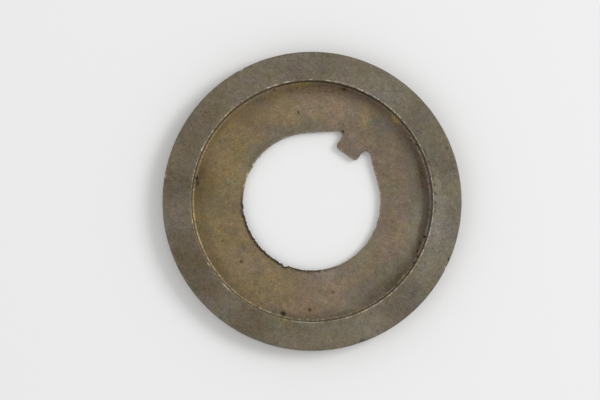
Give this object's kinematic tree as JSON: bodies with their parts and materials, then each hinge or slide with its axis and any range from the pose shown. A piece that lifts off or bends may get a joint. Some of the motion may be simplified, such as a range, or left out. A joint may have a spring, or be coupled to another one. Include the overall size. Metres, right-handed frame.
{
  "type": "thrust washer",
  "caption": "Flat steel thrust washer with a raised rim round a recess, and a bore whose square tab keys it to a slotted shaft.",
  "frame": {"origin": "centre of the flat back, on the bore's axis", "axes": "+Z along the bore's axis, out of the recess; +Y from the axis through the middle of the tab"},
  "size_m": [0.0286, 0.0286, 0.002],
  "materials": {
    "tempered_steel": "matt tumbled steel with a brown temper tint, stronger in the recess"
  },
  "bodies": {
    "root": {"thrust_washer": "tempered_steel"}
  },
  "joints": []
}
